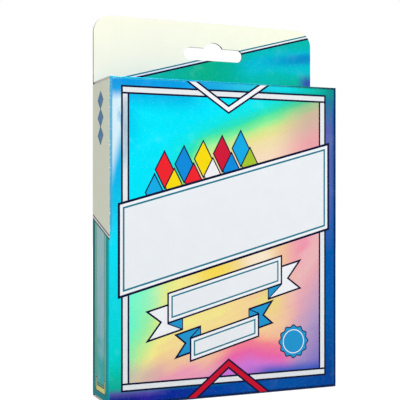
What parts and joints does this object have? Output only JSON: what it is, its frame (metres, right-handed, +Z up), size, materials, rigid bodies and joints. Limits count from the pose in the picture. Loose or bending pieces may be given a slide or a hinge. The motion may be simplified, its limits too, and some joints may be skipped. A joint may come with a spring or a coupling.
{
  "type": "card game",
  "caption": "Card game in an upright folding carton with tuck lids above and below and a doubled hang tab with a hanging slot; stacks of cards and a folded rules leaflet inside.",
  "frame": {"origin": "bottom centre of the bounding box, under the middle of the carton", "axes": "+Z up towards the hang tab, +Y towards the back panel, +X to the right as seen from the front"},
  "size_m": [0.095, 0.0214, 0.1456],
  "materials": {
    "foil_board": "holographic foil print, gloss",
    "split_board": "cream print and foil, gloss",
    "cream_board": "cream print, gloss",
    "inner_board": "uncoated white board",
    "leaflet_paper": "uncoated paper",
    "card_sky": "coated card",
    "card_red": "coated card",
    "card_blue": "coated card",
    "card_yellow": "coated card",
    "card_crimson": "coated card",
    "card_white": "coated card",
    "card_green": "coated card",
    "card_orange": "coated card"
  },
  "bodies": {
    "carton": {"front_panel": "foil_board", "left_side_panel": "split_board", "right_side_panel": "split_board", "back_panel": "cream_board", "hang_tab_ply": "split_board", "glue_flap": "inner_board"},
    "top_lid": {"top_lid": "foil_board"},
    "top_tongue": {"top_tongue": "inner_board"},
    "top_left_dust_flap": {"top_left_dust_flap": "inner_board"},
    "top_right_dust_flap": {"top_right_dust_flap": "inner_board"},
    "bottom_lid": {"bottom_lid": "foil_board"},
    "bottom_tongue": {"bottom_tongue": "inner_board"},
    "bottom_left_dust_flap": {"bottom_left_dust_flap": "inner_board"},
    "bottom_right_dust_flap": {"bottom_right_dust_flap": "inner_board"},
    "cards": {"card_set_sky": "card_sky", "card_set_red": "card_red", "card_set_blue": "card_blue", "card_set_yellow": "card_yellow", "card_set_crimson": "card_crimson", "card_set_white": "card_white", "card_set_green": "card_green", "card_set_orange": "card_orange"},
    "leaflet": {"rules_leaflet": "leaflet_paper"}
  },
  "joints": [
    {"name": "top_lid_hinge", "type": "hinge", "parent": "carton", "child": "top_lid", "pos_m": [0, -0.01052, 0.11937], "axis": [1, 0, 0], "range_deg": [0, 145]},
    {"name": "top_tongue_fold", "type": "hinge", "parent": "top_lid", "child": "top_tongue", "pos_m": [0, 0.00937, 0.11937], "axis": [1, 0, 0], "range_deg": [-46.5, 0]},
    {"name": "top_left_dust_flap_hinge", "type": "hinge", "parent": "carton", "child": "top_left_dust_flap", "pos_m": [-0.04727, 0, 0.11887], "axis": [0, -1, 0], "range_deg": [0, 93]},
    {"name": "top_right_dust_flap_hinge", "type": "hinge", "parent": "carton", "child": "top_right_dust_flap", "pos_m": [0.04727, 0, 0.11887], "axis": [0, 1, 0], "range_deg": [0, 93]},
    {"name": "bottom_lid_hinge", "type": "hinge", "parent": "carton", "child": "bottom_lid", "pos_m": [0, -0.01052, 0.00022], "axis": [-1, 0, 0], "range_deg": [0, 145]},
    {"name": "bottom_tongue_fold", "type": "hinge", "parent": "bottom_lid", "child": "bottom_tongue", "pos_m": [0, 0.00937, 0.00022], "axis": [-1, 0, 0], "range_deg": [-46.5, 0]},
    {"name": "bottom_left_dust_flap_hinge", "type": "hinge", "parent": "carton", "child": "bottom_left_dust_flap", "pos_m": [-0.04727, 0, 0.00072], "axis": [0, 1, 0], "range_deg": [0, 93]},
    {"name": "bottom_right_dust_flap_hinge", "type": "hinge", "parent": "carton", "child": "bottom_right_dust_flap", "pos_m": [0.04727, 0, 0.00072], "axis": [0, -1, 0], "range_deg": [0, 93]},
    {"name": "cards_slide", "type": "slide", "parent": "carton", "child": "cards", "axis": [0, 0, 1], "range_m": [0, 0.0055]},
    {"name": "leaflet_slide", "type": "slide", "parent": "carton", "child": "leaflet", "axis": [0, 0, 1], "range_m": [0, 0.0105]}
  ],
  "couplings": [
    {"joint": "top_tongue_fold", "follows": "top_lid_hinge", "ratio": -0.32},
    {"joint": "top_left_dust_flap_hinge", "follows": "top_lid_hinge", "ratio": 0.64},
    {"joint": "top_right_dust_flap_hinge", "follows": "top_lid_hinge", "ratio": 0.64},
    {"joint": "bottom_tongue_fold", "follows": "bottom_lid_hinge", "ratio": -0.32},
    {"joint": "bottom_left_dust_flap_hinge", "follows": "bottom_lid_hinge", "ratio": 0.64},
    {"joint": "bottom_right_dust_flap_hinge", "follows": "bottom_lid_hinge", "ratio": 0.64}
  ]
}
